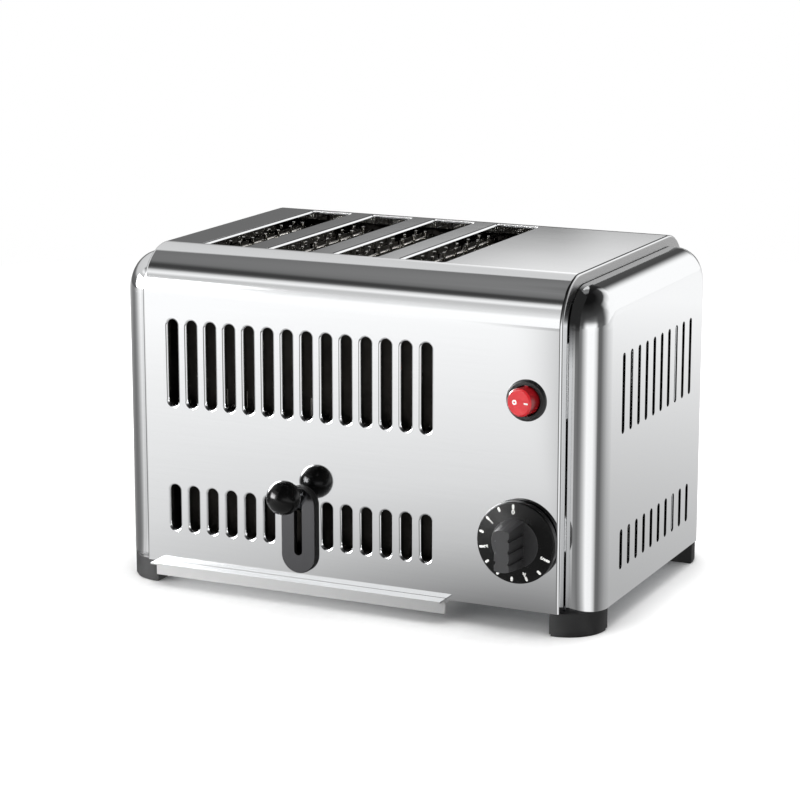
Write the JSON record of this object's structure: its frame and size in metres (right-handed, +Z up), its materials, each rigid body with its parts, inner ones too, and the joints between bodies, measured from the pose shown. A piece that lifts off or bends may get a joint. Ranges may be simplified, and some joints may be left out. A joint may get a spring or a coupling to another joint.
{
  "type": "four-slot toaster",
  "caption": "Polished counter toaster with vented front, long bread slots, ball-ended eject lever, timer dial, rocker switch and sliding crumb tray.",
  "frame": {"origin": "middle of the part's box, at counter level under the feet", "axes": "+Z up, front toward -Y, timer and switch toward +X"},
  "size_m": [0.3398, 0.2711, 0.2258],
  "materials": {
    "polished_steel": "mirror polished stainless sheet",
    "inner_steel": "plated sheet and wire",
    "black_moulding": "satin black heat-resistant moulding",
    "black_ball": "polished black phenolic",
    "foot_rubber": "moulded black rubber",
    "plate_grey": "dark grey moulded trim",
    "rocker_red": "translucent red moulding",
    "mica": "pressed mica sheet",
    "heater_alloy": "oxidised resistance ribbon",
    "ceramic": "glazed ceramic"
  },
  "bodies": {
    "shell": {"outer_wrap": "polished_steel", "left_end_cap": "polished_steel", "right_end_cap": "polished_steel", "base_plate": "inner_steel", "foot_screws": "inner_steel", "cap_screws": "inner_steel", "front_inner_wall": "inner_steel", "rear_inner_wall": "inner_steel", "left_reflector": "inner_steel", "control_partition": "inner_steel", "guide_rods": "inner_steel", "lever_bracket": "inner_steel", "lever_pivot_pin": "inner_steel", "timer_body": "inner_steel", "timer_screws": "inner_steel", "tray_runners": "inner_steel", "bread_guard_1": "inner_steel", "bread_guard_2": "inner_steel", "bread_guard_3": "inner_steel", "bread_guard_4": "inner_steel", "heater_board_1": "mica", "heater_ribbon_1": "heater_alloy", "heater_board_2": "mica", "heater_ribbon_2": "heater_alloy", "heater_board_3": "mica", "heater_ribbon_3": "heater_alloy", "heater_board_4": "mica", "heater_ribbon_4": "heater_alloy", "heater_board_5": "mica", "heater_ribbon_5": "heater_alloy", "foot_front_left": "foot_rubber", "foot_front_right": "foot_rubber", "foot_rear_left": "foot_rubber", "foot_rear_right": "foot_rubber", "switch_body": "black_moulding", "cable_gland": "black_moulding", "lever_plate": "plate_grey", "terminal_block": "ceramic"},
    "eject_lever": {"lever_arm": "inner_steel", "lever_ball": "black_ball", "lift_pin": "inner_steel"},
    "bread_lift": {"bread_rail_1": "inner_steel", "bread_rail_2": "inner_steel", "bread_rail_3": "inner_steel", "bread_rail_4": "inner_steel", "front_crossbar": "inner_steel", "rear_crossbar": "inner_steel", "guide_bushes": "ceramic"},
    "timer_knob": {"timer_dial": "black_moulding", "timer_shaft": "inner_steel"},
    "rocker": {"switch_rocker": "rocker_red"},
    "tray": {"crumb_tray": "polished_steel"}
  },
  "joints": [
    {"name": "lever_pivot", "type": "hinge", "parent": "shell", "child": "eject_lever", "pos_m": [-0.0325, -0.07545, 0.051], "axis": [1, 0, 0], "range_deg": [0, 54]},
    {"name": "bread_lift_slide", "type": "slide", "parent": "shell", "child": "bread_lift", "axis": [0, 0, 1], "range_m": [0, 0.0346]},
    {"name": "timer_turn", "type": "hinge", "parent": "shell", "child": "timer_knob", "pos_m": [0.1205, -0.10145, 0.06], "axis": [0, 1, 0], "range_deg": [0, 240]},
    {"name": "rocker_tip", "type": "hinge", "parent": "shell", "child": "rocker", "pos_m": [0.1245, -0.10145, 0.15], "axis": [0, 0, 1], "range_deg": [0, 22]},
    {"name": "tray_slide", "type": "slide", "parent": "shell", "child": "tray", "axis": [0, -1, 0], "range_m": [0, 0.19]}
  ],
  "couplings": [
    {"joint": "bread_lift_slide", "follows": "lever_pivot", "m_per_rad": 0.036609}
  ]
}
